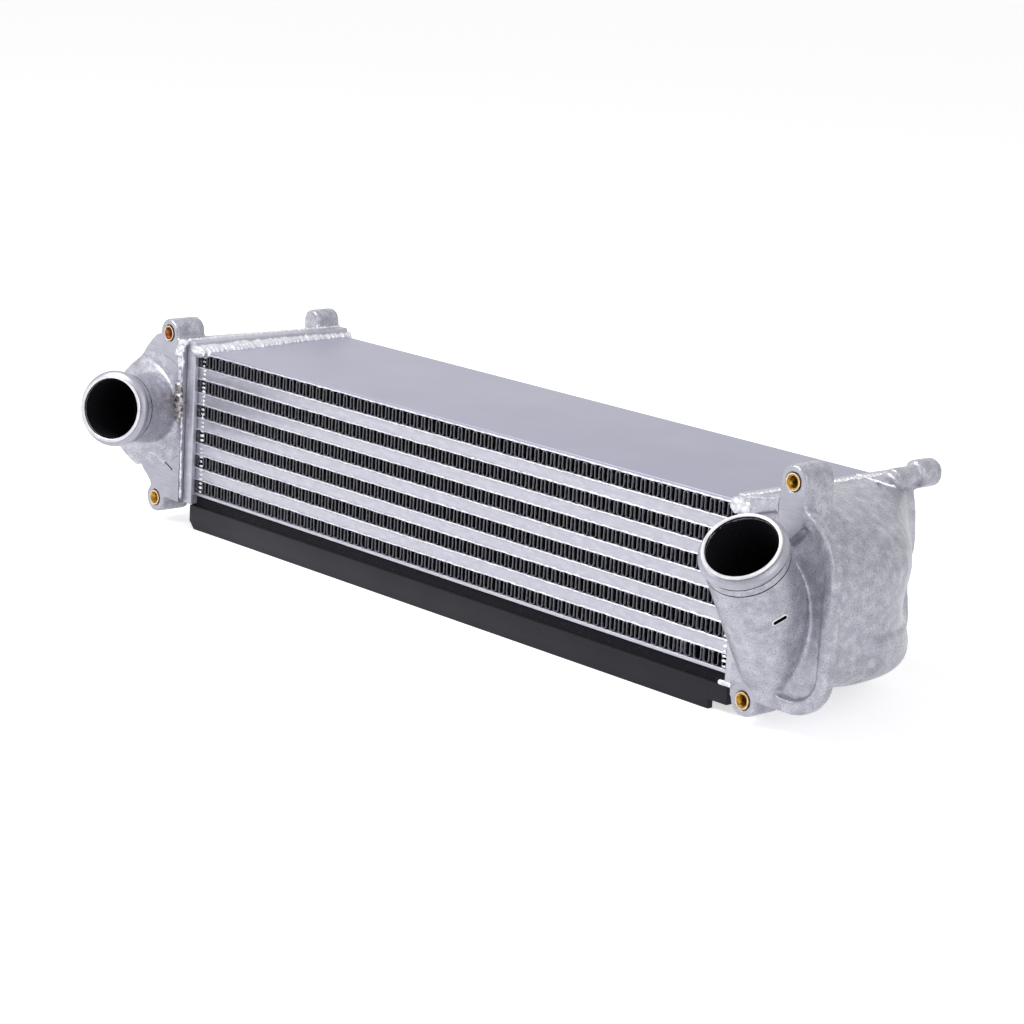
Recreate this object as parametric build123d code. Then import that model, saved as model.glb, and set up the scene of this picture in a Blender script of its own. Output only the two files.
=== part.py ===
from build123d import *
import math
import os

# An air-to-air intercooler: a brazed bar-and-plate core between two cast end tanks.
# Millimetres. X runs along the core from the left tank to the right tank, Y from the
# front face to the back, Z up. While it is built, X = 0 is the middle of the core,
# Y = 0 its front face and Z = 0 the surface that it rests on.

# Core
fin_rows = 6
fin_length = 482.0
core_depth = 123.5
fin_height = 8.8
fin_pitch = 5.2
fin_gauge = 0.3
bar_height = 7.0
bar_width = 8.0
sheet_thickness = 0.6
top_plate_thickness = 2.6
bottom_plate_thickness = 2.2
end_bar_width = 8.0
end_bar_gap = 3.0
turbulator_pitch = 8.5
turbulator_setback = 2.0

# Seal under the core
seal_body_height = 17.9
seal_lip_height = 5.6
seal_lip_width = 4.0
seal_fold_height = 7.5
seal_fold_depth = 1.6
seal_left_overhang = 11.0
seal_right_overhang = 5.0
seal_lip_right_margin = 9.0
seal_corner_cut = 5.0

# Header frames round the ends of the core
header_width = 8.5
header_start = 5.5
header_wall_front = 4.0
header_wall_back = 2.5
header_wall_top = 5.4
header_wall_bottom = 6.0

# Both tanks
tank_wall = 4.5
web_thickness = 8.0
web_front = 8.0
boss_radius = 9.5
boss_length = 23.0
insert_radius = 5.0
thread_radius = 3.4
insert_length = 15.0
pipe_bead_radius = 25.0
pipe_bead_length = 4.5
pipe_bead_chamfer = 1.3
pipe_groove_radius = 23.6
pipe_groove_length = 4.0
pipe_bore_depth = 20.0
pipe_cast_step = 0.5

# Left tank: reach is how far the body stands out from the header at each depth
left_reach = 59.0
left_full_depth = 25.0
left_middle_reach = 47.0
left_rear_reach = 20.0
left_round_height = 50.0
left_web_radius = 68.6
left_web_centre_x = 11.3
left_web_flat_distance = 64.5
left_web_flat_angle = 223.5
left_upper_boss = (-15.6, 2.5)
left_lower_boss = (-26.2, -1.7)
left_mouth = (-6.4, -60.0, 85.3)
left_pipe_turn = 24.1
left_pipe_rise = 8.7
left_bore_radius = 19.8
left_pipe_radius = 22.4
left_dome_flare = 33.0
left_dome_height = 13.0
left_stub_length = 19.0
left_stub_radius = 8.0
left_stub_out = 8.5
left_stub_above = 3.3
left_stub_drop = 12.0

# Right tank
right_reach = 62.0
right_full_depth = 31.0
right_middle_reach = 59.0
right_shoulder_reach = 33.0
right_shoulder_from_back = 27.0
right_rear_reach = 12.0
right_round_top = 40.0
right_round_bottom = 26.0
right_waist = 7.0
right_waist_start = 1.75
pad_height = 2.0
pad_front = 36.0
pad_back_margin = 33.0
pad_below_middle = 17.0
flange_reach = 68.5
flange_top_radius = 41.5
flange_corner_radius = 25.0
flange_drop = 2.0
flange_rise = 5.5
lip_width = 8.0
lip_depth = 3.5
right_upper_boss = (34.0, 14.9)
right_lower_boss = (9.6, -3.0)
lug_point_drop = 9.5
right_mouth = (38.8, -50.0, 113.7)
right_pipe_turn = 17.5
right_pipe_rise = 49.4
right_bore_radius = 20.0
right_pipe_root_radius = 26.4
right_stub_out = 5.8
right_stub_below = 1.0
right_stub_gap = 0.5
right_stub_length = 16.0
right_stub_radius = 8.3
right_stub_neck_radius = 5.5
right_stub_neck_length = 19.0
slot_length = 9.0
slot_width = 3.6
slot_depth = 2.0
slot_from_mouth = 46.0

# Worked out from the sizes above
seal_height = seal_lip_height + seal_body_height
passage_pitch = fin_height + bar_height + 2 * sheet_thickness
stack_bottom = seal_height + bottom_plate_thickness
stack_top = stack_bottom + fin_rows * fin_height + (fin_rows - 1) * (bar_height + 2 * sheet_thickness)
core_top = stack_top + top_plate_thickness
core_half = fin_length / 2 + end_bar_gap + end_bar_width
header_inner = fin_length / 2 + header_start
header_outer = header_inner + header_width
header_top = core_top + header_wall_top
header_bottom = seal_height - header_wall_bottom
header_back = core_depth + header_wall_back
header_middle = (header_top + header_bottom) / 2
core_middle = core_depth / 2
web_back = web_thickness - web_front
cavity_front = tank_wall - header_wall_front


def block(x_range, y_range, z_range):
    """A box between two values along each axis."""
    size = [high - low for low, high in (x_range, y_range, z_range)]
    middle = [(high + low) / 2 for low, high in (x_range, y_range, z_range)]
    return Pos(*middle) * Box(*size)


def upright(y):
    """A sketch plane that faces forward at depth y: local x is X and local y is Z."""
    return Plane(origin=(0, y, 0), x_dir=(1, 0, 0), z_dir=(0, -1, 0))


def slab(sketch, y_front, y_back):
    """Turn an XZ sketch into a solid between two depths."""
    return extrude(upright(y_back) * sketch, y_back - y_front, dir=(0, -1, 0))


def disc(x, z, radius):
    """A circle in an XZ sketch."""
    return Pos(x, z) * Circle(radius)


def rod(x, z, radius, y_front, y_back):
    """A round bar along Y."""
    return slab(disc(x, z, radius), y_front, y_back)


def wave(length, height, pitch, gauge):
    """Outline of a corrugated strip, centred on its length, standing on zero."""
    count = round(length / pitch)
    half = length / (2 * count)
    lift = gauge * math.hypot(half, height) / half
    upper = [(-length / 2 + i * half, height if i % 2 else lift) for i in range(2 * count + 1)]
    lower = [(x, z - lift) for x, z in upper]
    return Polygon(*upper, *reversed(lower), align=None)


def row_bottom(row):
    """Height of the lower side of a cooling air row, counted from the top."""
    return stack_top - fin_height - row * passage_pitch


def charge_bottom(row):
    """Height of the lower side of a charge air passage, counted from the top."""
    return row_bottom(row) - sheet_thickness - bar_height


def external_fin(row):
    fin = wave(fin_length, fin_height, fin_pitch, fin_gauge)
    return slab(Pos(0, row_bottom(row)) * fin, 0, core_depth)


def turbulator(row):
    width = core_depth - 2 * bar_width
    strip = wave(width, bar_height, turbulator_pitch, fin_gauge)
    end = core_half - turbulator_setback
    side = Plane(origin=(-end, core_depth / 2, charge_bottom(row)), x_dir=(0, 1, 0), z_dir=(1, 0, 0))
    return extrude(side * strip, 2 * end, dir=(1, 0, 0))


def long_bar(row, y_front):
    low = charge_bottom(row)
    return block((-core_half, core_half), (y_front, y_front + bar_width), (low, low + bar_height))


def end_bar(row, side):
    low = row_bottom(row)
    ends = sorted((side * core_half, side * (core_half - end_bar_width)))
    return block(ends, (0, core_depth), (low, low + fin_height))


def plate(low, thickness):
    return block((-core_half, core_half), (0, core_depth), (low, low + thickness))


def core_pieces():
    """Plates, parting sheets, fins, bars and inner fins of the core."""
    pieces = {
        "top_plate": plate(stack_top, top_plate_thickness),
        "bottom_plate": plate(seal_height, bottom_plate_thickness),
    }
    for row in range(fin_rows):
        pieces[f"external_fin_{row + 1}"] = external_fin(row)
        pieces[f"left_end_bar_{row + 1}"] = end_bar(row, -1)
        pieces[f"right_end_bar_{row + 1}"] = end_bar(row, 1)
    for row in range(fin_rows - 1):
        low = charge_bottom(row)
        pieces[f"parting_sheet_{2 * row + 1}"] = plate(low + bar_height, sheet_thickness)
        pieces[f"parting_sheet_{2 * row + 2}"] = plate(low - sheet_thickness, sheet_thickness)
        pieces[f"front_bar_{row + 1}"] = long_bar(row, 0)
        pieces[f"rear_bar_{row + 1}"] = long_bar(row, core_depth - bar_width)
        pieces[f"turbulator_{row + 1}"] = turbulator(row)
    return pieces


def base_seal():
    """Moulded seal: a body under the whole core, with a lip along the front and the back."""
    left = -(fin_length / 2 + seal_left_overhang)
    right = fin_length / 2 + seal_right_overhang
    lip_right = fin_length / 2 - seal_lip_right_margin
    body = block((left, right), (0, core_depth), (seal_lip_height, seal_height))
    for lip_front in (0, core_depth - seal_lip_width):
        body += block((left, lip_right), (lip_front, lip_front + seal_lip_width), (0, seal_height))
    fold = (seal_height - seal_fold_height, seal_height)
    body -= block((left, right), (0, seal_fold_depth), fold)
    body -= block((left, right), (core_depth - seal_fold_depth, core_depth), fold)
    body -= block((left, -header_inner), (0, core_depth), (header_bottom, seal_height))
    corner = Polygon((left, 0), (left + seal_corner_cut, 0), (left, seal_corner_cut), align=None)
    return body - slab(corner, 0, core_depth)


def header_frame(side):
    """Rectangular frame that closes on the end of the core and carries the tank."""
    ends = sorted((side * header_inner, side * header_outer))
    outside = block(ends, (-header_wall_front, header_back), (header_bottom, header_top))
    return outside - block(ends, (0, core_depth), (seal_height, core_top))


def waisted_edge(x, low, high, waist):
    """Upright edge that draws in by the waist halfway and ends straight up at both ends."""
    quarter = (high - low) / 4
    middle_share = math.comb(4, 2) / 2 ** 4
    middle = (x - waist / middle_share, low + 2 * quarter)
    return Bezier((x, low), (x, low + quarter), middle, (x, high - quarter), (x, high))


def body_section(y, side, reach, round_top, round_bottom, waist, inset):
    """One D-shaped section of a tank's body at depth y, its flat side on the header."""
    low, high = header_bottom + inset, header_top - inset
    top, bottom = round_top - inset, round_bottom - inset
    width = reach - inset
    line = EllipticalCenterArc((header_outer, low + bottom), width, bottom, 270)
    line += waisted_edge(header_outer + width, low + bottom, high - top, waist)
    line += EllipticalCenterArc((header_outer, high - top), width, top, 0)
    line += Line((header_outer, high), (header_outer, low))
    face = upright(y) * make_face(line)
    return face if side > 0 else mirror(face, Plane.YZ)


def tank_body(side, stations, round_top, round_bottom):
    """Loft a tank's body through its sections: depth, reach and waist of each."""
    return loft([body_section(y, side, reach, round_top, round_bottom, waist, 0)
                 for y, reach, waist in stations])


def tank_cavity(side, stations, round_top, round_bottom):
    """The hollow inside a tank's body, one wall smaller all round and open at the header."""
    depths = [y for y, reach, waist in stations]
    depths[0] += tank_wall
    depths[-1] -= tank_wall
    return loft([body_section(y, side, reach, round_top, round_bottom, waist, tank_wall)
                 for y, (old, reach, waist) in zip(depths, stations)], ruled=True)


def pipe_plane(mouth, turn, rise, side):
    """Plane at the pipe's mouth whose normal points out of the pipe."""
    turn, rise = math.radians(turn), math.radians(rise)
    outward = (math.sin(turn) * math.cos(rise), -math.cos(turn) * math.cos(rise), math.sin(rise))
    x, y, z = mouth
    return Plane(origin=(side * header_outer + x, y, z), x_dir=(1, 0, 0), z_dir=outward)


def pipe_outside(plane, root_radius, length):
    """Hose pipe with a bead and a groove at its mouth, turned about its own axis."""
    bead_end = pipe_bead_length + pipe_bead_chamfer
    groove_end = bead_end + pipe_groove_length
    profile = Polyline((0, 0), (pipe_bead_radius - pipe_bead_chamfer, 0),
                       (pipe_bead_radius, -pipe_bead_chamfer), (pipe_bead_radius, -pipe_bead_length),
                       (pipe_groove_radius, -bead_end), (pipe_groove_radius, -groove_end),
                       (root_radius, -length), (0, -length), (0, 0))
    return plane * revolve(Plane.XZ * make_face(profile), Axis.Z)


def pipe_bore(plane, radius, length):
    """Machined bore at the mouth and the slightly smaller cast bore behind it."""
    machined = Pos(0, 0, -pipe_bore_depth / 2) * Cylinder(radius, pipe_bore_depth)
    cast = Pos(0, 0, -length / 2) * Cylinder(radius - pipe_cast_step, length)
    return plane * (machined + cast)


def boss_points():
    """Each threaded boss: the X and Z of its axis."""
    return {
        "left_upper": (left_upper_boss[0] - header_outer, header_top + left_upper_boss[1]),
        "left_lower": (left_lower_boss[0] - header_outer, header_bottom + left_lower_boss[1]),
        "right_upper": (header_outer + right_upper_boss[0], header_top + right_upper_boss[1]),
        "right_lower": (header_outer + right_lower_boss[0], header_bottom + right_lower_boss[1]),
    }


def boss(name):
    """A threaded boss, still without its hole."""
    return rod(*boss_points()[name], boss_radius, -web_front, boss_length - web_front)


def insert_hole(name):
    return rod(*boss_points()[name], insert_radius, -web_front, insert_length - web_front)


def thread_insert(name):
    """Brass bush pressed into its boss, flush with the machined face."""
    bore = rod(*boss_points()[name], thread_radius, -web_front, insert_length - web_front)
    return insert_hole(name) - bore


def ahead_of(y):
    """Everything in front of depth y, large enough to trim a pipe."""
    far = 2 * header_outer
    return block((-far, far), (-far, y), (-far, far))


def web_outline():
    """The left tank's D-shaped web: a disc cut off at the header, the top, the bottom and one flat."""
    x, reach = left_web_centre_x - header_outer, left_web_radius
    window = Pos(-header_outer - reach / 2, header_middle) * Rectangle(reach, header_top - header_bottom)
    beyond_flat = Pos(left_web_flat_distance + reach / 2) * Rectangle(reach, 2 * reach)
    flat_cut = Pos(x, header_middle) * Rot(0, 0, left_web_flat_angle) * beyond_flat
    return (disc(x, header_middle, reach) & window) - flat_cut


def left_tank():
    stations = [(-header_wall_front, left_reach, 0), (left_full_depth, left_reach, 0),
                (core_middle, left_middle_reach, 0), (header_back, left_rear_reach, 0)]
    rounds = (left_round_height, left_round_height)
    plane = pipe_plane(left_mouth, left_pipe_turn, left_pipe_rise, -1)
    length = (left_mouth[1] + web_front) / plane.z_dir.Y
    tank = tank_body(-1, stations, *rounds)
    tank += slab(web_outline(), -web_front, web_back)
    tank += boss("left_upper") + boss("left_lower") + left_stub()
    pipe = pipe_outside(plane, left_pipe_radius, 2 * length)
    tank += (pipe & ahead_of(-header_wall_front)) + left_dome(plane, length)
    tank -= tank_cavity(-1, stations, *rounds)
    tank -= pipe_bore(plane, left_bore_radius, 2 * length) & ahead_of(cavity_front)
    return tank - insert_hole("left_upper") - insert_hole("left_lower")


def left_dome(plane, length):
    """Flared root of the left pipe, kept inside the edge of the web."""
    flare = Cone(left_pipe_radius + left_dome_flare, left_pipe_radius, left_dome_flare)
    flare = plane * Pos(0, 0, left_dome_height - length - left_dome_flare / 2) * flare
    return flare & slab(web_outline(), -web_front - 2 * left_dome_height, web_back)


def left_stub():
    """Blind mounting lug on the top of the left tank, near the back."""
    x, z = -header_outer - left_stub_out, header_top + left_stub_above
    foot = Pos(x, z - left_stub_drop / 2) * Rectangle(2 * left_stub_radius, left_stub_drop)
    return slab(disc(x, z, left_stub_radius) + foot, header_back - left_stub_length, header_back)


def flange_outline(inset):
    """Front outline of the right tank, or with an inset the edge of its sunk field."""
    right = header_outer + flange_reach - inset
    low, high = header_bottom - flange_drop + inset, header_top + flange_rise - inset
    left = header_outer + inset
    large, small = flange_top_radius - inset, flange_corner_radius - inset
    line = Line((left, low), (right - small, low))
    line += CenterArc((right - small, low + small), small, 270, 90)
    line += Line((right, low + small), (right, high - large))
    line += CenterArc((right - large, high - large), large, 0, 90)
    line += Polyline((right - large, high), (left, header_top - inset), (left, low))
    return make_face(line)


def lug_outline():
    """Upper boss and the stem that carries it, ending in a point on the sunk field."""
    x, z = boss_points()["right_upper"]
    low = header_top - boss_radius
    stem = Polygon((x - boss_radius, z), (x - boss_radius, low), (x, low - lug_point_drop),
                   (x + boss_radius, low), (x + boss_radius, z), align=None)
    return disc(x, z, boss_radius) + stem


def slot_cut(plane):
    """Small slot sunk in the front of the right pipe."""
    slot = SlotOverall(slot_length, slot_width)
    face = Pos(0, 0, -slot_from_mouth) * Rot(90, 0, 0) * slot
    return plane * extrude(Pos(0, -right_pipe_root_radius + slot_depth, 0) * face, 2 * slot_depth)


def right_stub():
    """Locating stub on the top corner of the right tank, behind a thinner neck."""
    x, z = header_outer + right_stub_out, header_top - right_stub_below
    start = header_back + right_stub_gap
    neck = rod(x, z, right_stub_neck_radius, start - right_stub_neck_length, start)
    return neck + rod(x, z, right_stub_radius, start, start + right_stub_length)


def wall_pad(stations, rounds):
    """Raised pad low on the right tank's outer wall."""
    raised = [(y, reach + pad_height, waist) for y, reach, waist in stations]
    window = block((header_outer + right_rear_reach, 2 * header_outer),
                   (pad_front, core_depth - pad_back_margin),
                   (header_bottom, header_middle - pad_below_middle))
    return tank_body(1, raised, *rounds) & window


def right_tank():
    stations = [(-header_wall_front, right_reach, 0), (right_full_depth, right_reach, 0),
                (core_middle, right_middle_reach, right_waist_start),
                (core_depth - right_shoulder_from_back, right_shoulder_reach, right_waist),
                (header_back, right_rear_reach, right_waist_start)]
    rounds = (right_round_top, right_round_bottom)
    plane = pipe_plane(right_mouth, right_pipe_turn, right_pipe_rise, 1)
    length = (right_mouth[1] + web_front) / plane.z_dir.Y
    tank = tank_body(1, stations, *rounds) + wall_pad(stations, rounds)
    tank += slab(flange_outline(0), -web_front, web_back)
    tank -= slab(flange_outline(lip_width) - lug_outline(), -web_front, lip_depth - web_front)
    tank += boss("right_lower") + right_stub()
    tank += slab(lug_outline(), -web_front, boss_length - web_front)
    pipe = pipe_outside(plane, right_pipe_root_radius, 2 * length)
    tank += pipe & ahead_of(-header_wall_front)
    tank -= tank_cavity(1, stations, *rounds)
    tank -= pipe_bore(plane, right_bore_radius, 2 * length) & ahead_of(cavity_front)
    tank -= slot_cut(plane)
    return tank - insert_hole("right_upper") - insert_hole("right_lower")


def all_pieces():
    pieces = core_pieces()
    pieces["base_seal"] = base_seal()
    pieces["left_header"] = header_frame(-1)
    pieces["right_header"] = header_frame(1)
    pieces["left_tank"] = left_tank()
    pieces["right_tank"] = right_tank()
    for name in boss_points():
        pieces[f"{name}_insert"] = thread_insert(name)
    return pieces


def footprint_centre(pieces):
    """Middle of the whole object's footprint, which becomes its origin."""
    box = Compound(children=[Compound(piece.solids()) for piece in pieces.values()]).bounding_box()
    return (box.min.X + box.max.X) / 2, (box.min.Y + box.max.Y) / 2


pieces = all_pieces()
origin_x, origin_y = footprint_centre(pieces)
os.makedirs("parts", exist_ok=True)
for name, piece in pieces.items():
    export_step(Pos(-origin_x, -origin_y, 0) * piece, f"parts/{name}.step")
print("origin of the part in the core's own frame:", round(origin_x, 3), round(origin_y, 3))
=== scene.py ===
import math

import bpy
from mathutils import Matrix, Vector, noise


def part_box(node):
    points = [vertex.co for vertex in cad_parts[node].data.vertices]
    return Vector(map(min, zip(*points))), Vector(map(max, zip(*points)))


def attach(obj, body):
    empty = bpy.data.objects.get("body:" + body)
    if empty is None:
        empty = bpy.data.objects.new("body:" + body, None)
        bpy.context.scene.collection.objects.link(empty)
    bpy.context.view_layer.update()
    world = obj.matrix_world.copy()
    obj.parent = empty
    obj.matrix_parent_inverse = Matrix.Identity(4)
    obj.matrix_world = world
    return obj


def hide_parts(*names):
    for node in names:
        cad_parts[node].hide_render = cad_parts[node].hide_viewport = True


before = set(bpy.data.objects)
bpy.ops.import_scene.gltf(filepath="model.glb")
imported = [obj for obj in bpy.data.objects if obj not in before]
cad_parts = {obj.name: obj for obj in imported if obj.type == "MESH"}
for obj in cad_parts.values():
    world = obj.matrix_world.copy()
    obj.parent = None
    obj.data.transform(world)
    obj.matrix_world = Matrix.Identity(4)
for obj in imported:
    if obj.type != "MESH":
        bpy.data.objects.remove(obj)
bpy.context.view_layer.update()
noise.seed_set(1)  # noise_vector draws its offsets from this, so every run gives the same folds and welds
mm = 0.001
touching = 0.001 * mm  # points nearer than this are in one place
bodyName = "root"  # nothing on the cooler moves

# The core's own corner of the frame: X from the middle of the core, Y from its front face, Z from the floor
plateLow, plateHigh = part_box("top_plate")
coreMiddle = (plateLow.x + plateHigh.x) / 2
coreFront, coreBack = plateLow.y, plateHigh.y
coreHalf = (plateHigh.x - plateLow.x) / 2 / mm
print("frame loaded:", len(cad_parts), "nodes")


def place(x, y, z):  # millimetres from the core's own corner to a point in the frame
    return Vector((coreMiddle + x * mm, coreFront + y * mm, z * mm))


# Working by hand, as in the viewport

def clearSelection():
    if bpy.context.mode != "OBJECT":
        bpy.ops.object.mode_set(mode="OBJECT")
    bpy.ops.object.select_all(action="DESELECT")


def pickOnly(*pieces):
    clearSelection()
    for piece in pieces:
        piece.select_set(True)
    bpy.context.view_layer.objects.active = pieces[0]


def editAll(piece, kind="FACE"):
    pickOnly(piece)
    bpy.ops.object.mode_set(mode="EDIT")
    bpy.ops.mesh.select_mode(type=kind)
    bpy.ops.mesh.select_all(action="SELECT")


def endEdit():
    bpy.ops.object.mode_set(mode="OBJECT")


def selectWhere(piece, kind, test):  # selects what passes the test, and stays in edit mode
    endEdit()
    data = piece.data
    for group in (data.vertices, data.edges, data.polygons):
        for item in group:
            item.select = False
    points = [v.co for v in data.vertices]
    for item in {"VERT": data.vertices, "EDGE": data.edges, "FACE": data.polygons}[kind]:
        if kind == "VERT":
            middle = item.co
        else:
            middle = sum((points[i] for i in item.vertices), Vector()) / len(item.vertices)
        item.select = test(middle, item)
    bpy.ops.object.mode_set(mode="EDIT")
    bpy.ops.mesh.select_mode(type=kind)


def useModifier(piece, kind, **settings):
    pickOnly(piece)
    modifier = piece.modifiers.new(kind.title(), kind)
    for name, value in settings.items():
        setattr(modifier, name, value)
    bpy.ops.object.modifier_apply(modifier=modifier.name)


def smoothByAngle(piece, degrees):
    pickOnly(piece)
    bpy.ops.object.shade_smooth_by_angle(angle=math.radians(degrees))


def settle(piece):  # puts the object's place into its mesh
    pickOnly(piece)
    bpy.ops.object.transform_apply(location=True, rotation=True, scale=True)


def copyNode(node, name):  # a merged copy of a CAD node's mesh, as its own object
    piece = bpy.data.objects.new(name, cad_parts[node].data.copy())
    piece.data.name = name
    piece.data.materials.clear()
    bpy.context.scene.collection.objects.link(piece)
    pickOnly(piece)
    bpy.ops.mesh.customdata_custom_splitnormals_clear()
    editAll(piece)
    bpy.ops.mesh.remove_doubles(threshold=0.002 * mm)
    bpy.ops.mesh.normals_make_consistent(inside=False)
    endEdit()
    return piece


def copyTo(piece, name, move):  # a copy with a mesh of its own, moved there
    twin = bpy.data.objects.new(name, piece.data.copy())
    bpy.context.scene.collection.objects.link(twin)
    twin.location = move
    settle(twin)
    return twin


def joinPieces(pieces, name):
    pickOnly(*pieces)
    bpy.ops.object.join()
    pieces[0].name = name
    return pieces[0]


def finishPiece(piece, material, slot, *nodes):
    if material is not None:
        piece.data.materials.clear()
        piece.data.materials.append(material)
    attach(piece, bodyName)
    if nodes:
        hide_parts(*nodes)
    return piece


# Materials

def linearColour(hexText):
    channels = [int(hexText[i:i + 2], 16) / 255 for i in (1, 3, 5)]
    return [c / 12.92 if c <= 0.04045 else ((c + 0.055) / 1.055) ** 2.4 for c in channels] + [1.0]


def linkAll(tree, node, links):  # each source to the socket of that name
    for name, source in links.items():
        tree.links.new(source, node.inputs[name])


def addNode(tree, kind, settings={}, links={}):  # stops fills a colour ramp, the rest sets values or sockets
    node = tree.nodes.new("ShaderNode" + kind)
    for name, value in settings.items():
        if name == "stops":
            ramp = node.color_ramp.elements
            while len(ramp) < len(value):
                ramp.new(0.5)
            for stop, (position, colour) in zip(ramp, value):
                stop.position, stop.color = position, linearColour(colour)
        elif isinstance(name, str) and hasattr(node, name):
            setattr(node, name, value)
        else:
            node.inputs[name].default_value = value
    linkAll(tree, node, links)
    return node


def startMaterial(name, shaderSettings):
    material = bpy.data.materials.new(name)
    material.use_nodes = True
    tree = material.node_tree
    tree.nodes.clear()
    shader = addNode(tree, "BsdfPrincipled", shaderSettings)
    addNode(tree, "OutputMaterial", links={"Surface": shader.outputs["BSDF"]})
    return material, tree, shader, addNode(tree, "TexCoord").outputs["Object"]


def grainAt(tree, where, size, detail, roughness=0.5):  # noise with features of that size in millimetres
    return addNode(tree, "TexNoise", {"Scale": 1 / (size * mm), "Detail": detail, "Roughness": roughness},
                   {"Vector": where}).outputs["Fac"]


def mixOf(tree, share, first, second):
    return addNode(tree, "Mix", {0: share}, {2: first, 3: second}).outputs[0]


def coloursAlong(tree, source, stops):
    return addNode(tree, "ValToRGB", {"stops": stops}, {"Fac": source}).outputs["Color"]


def reliefOf(tree, source, strength, depth):  # the depth in millimetres
    return addNode(tree, "Bump", {"Strength": strength, "Distance": depth * mm},
                   {"Height": source}).outputs["Normal"]


castLook = {"dark": "#93939E", "middle": "#B2B2BD", "light": "#D6D6DF",
            "patch": 6, "grain": 1.1, "grit": 0.45}  # the three sizes in millimetres


def castAluminium():
    # Sand-cast aluminium, blasted after casting: a dull silver skin with a fine sparkling grain
    material, tree, shader, coords = startMaterial("castAluminium", {"Metallic": 0.45})
    patches = grainAt(tree, coords, castLook["patch"], 3)
    grain = grainAt(tree, coords, castLook["grain"], 2, 0.6)
    grit = grainAt(tree, coords, castLook["grit"], 1)
    stops = [(0.3, castLook["dark"]), (0.5, castLook["middle"]), (0.7, castLook["light"])]
    rough = addNode(tree, "MapRange", {1: 0.35, 2: 0.65, 3: 0.26, 4: 0.42}, {0: grain})
    linkAll(tree, shader, {"Base Color": coloursAlong(tree, mixOf(tree, 0.45, patches, grain), stops),
                           "Roughness": rough.outputs[0],
                           "Normal": reliefOf(tree, mixOf(tree, 0.35, grain, grit), 0.45, 0.35)})
    return material


# The plain finishes: the grain is a size in millimetres, a detail and a roughness, the haze under it a size,
# a detail and the grain's share over it, and the relief a strength and a depth in millimetres
looks = {
    # Milled aluminium: flat and grey, with faint parallel cutter marks
    "machined": {"name": "machinedFace", "shader": {"Metallic": 0.6, "Roughness": 0.36},
                 "stretch": {"Rotation": (0, math.radians(20), 0), "Scale": (0.08, 1, 1)},
                 "grain": (0.9, 1), "haze": (14, 2, 0.5), "relief": (0.2, 0.08),
                 "stops": [(0.35, "#A2A2AD"), (0.65, "#B4B4BF")]},
    # The mouth's faced ring: bright bare aluminium, almost white under soft light
    "ring": {"name": "turnedRing", "shader": {"Metallic": 0.5, "Roughness": 0.25},
             "grain": (6, 2), "stops": [(0.35, "#DADAE0"), (0.65, "#F0F0F4")]},
    # Near black with a few light specks of dust: inside the pipes, and painted shade in the grooves and the
    # seal's fold
    "pipe": {"name": "nearBlackAndShade", "shader": {"Roughness": 0.8, "Specular IOR Level": 0.15},
             "grain": (1.6, 2, 0.7), "relief": (0.3, 0.2), "stops": [(0.62, "#15151A"), (0.72, "#34343A")]},
    # Rolled aluminium sheet: flat satin lilac grey, with faint rolling lines along the core and a haze
    "sheet": {"name": "rolledSheet", "shader": {"Metallic": 0.6, "Roughness": 0.48},
              "stretch": {"Scale": (0.02, 1, 1)}, "grain": (1.2, 2), "haze": (60, 3, 0.25),
              "relief": (0.12, 0.05), "stops": [(0.3, "#A8A8BA"), (0.7, "#AFAFC0")]},
    # Drawn aluminium bar after brazing: light grey, a little mottled by the flux
    "bar": {"name": "drawnBar", "shader": {"Metallic": 0.6, "Roughness": 0.42},
            "stretch": {"Scale": (0.3, 1, 1)}, "grain": (2.4, 4, 0.65), "relief": (0.25, 0.12),
            "stops": [(0.3, "#B4B4BF"), (0.5, "#BCBCC7"), (0.68, "#C7C7D1")]},
    # Braze alloy drawn along the sheets' edges: smooth, wet-looking and nearly white
    "braze": {"name": "brazedEdge", "shader": {"Metallic": 0.75, "Roughness": 0.28},
              "grain": (3, 2), "stops": [(0.35, "#D2D2DC"), (0.6, "#F0F0F6")]},
    # Aluminium weld: bright solidified ripples with a soft gloss
    "weld": {"name": "weldMetal", "shader": {"Metallic": 0.55, "Roughness": 0.28},
             "grain": (2.5, 3), "relief": (0.25, 0.2), "stops": [(0.35, "#CFCFD9"), (0.6, "#F2F2F7")]},
    # The end bars, dark as painted shade where they sit back in the recess, with bright specks of braze
    "shadeAndBraze": {"name": "endBarShadeAndBraze", "shader": {"Metallic": 0.4, "Roughness": 0.5}, "grain": (1.8, 3, 0.7),
               "stops": [(0.4, "#24242B"), (0.58, "#4A4A55"), (0.68, "#B4B4C0")]},
    # The bush's faced end: pale where the cutter left the brass bright
    "rim": {"name": "turnedRim", "shader": {"Metallic": 0.8, "Roughness": 0.35},
            "grain": (3, 2), "stops": [(0.4, "#CBB68C"), (0.6, "#E6DCC8")]},
    # Turned brass bush, passivated to a yellow brown
    "brass": {"name": "turnedBrass", "shader": {"Metallic": 1.0, "Roughness": 0.32},
              "grain": (2, 3), "stops": [(0.35, "#6E4A17"), (0.62, "#C79A45")]},
    # Moulded closed-cell rubber: blue black, satin where it was pressed
    "rubber": {"name": "satinRubber", "shader": {"Roughness": 0.55, "Specular IOR Level": 0.25},
               "grain": (0.8, 2), "haze": (40, 3, 0.3), "relief": (0.2, 0.08),
               "stops": [(0.35, "#18181F"), (0.65, "#202028")]},
}
# The weld where the torch burnt it brown, darkened further as painted shade, and the bush that is stained red
# brown
looks["burntAndShaded"] = looks["weld"] | {"name": "burntWeldAndShade", "stops": [(0.35, "#3A302B"), (0.6, "#C4BFC0")]}
looks["stained"] = looks["brass"] | {"name": "stainedBrass", "stops": [(0.35, "#5A2A14"), (0.62, "#A8623C")]}


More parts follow.
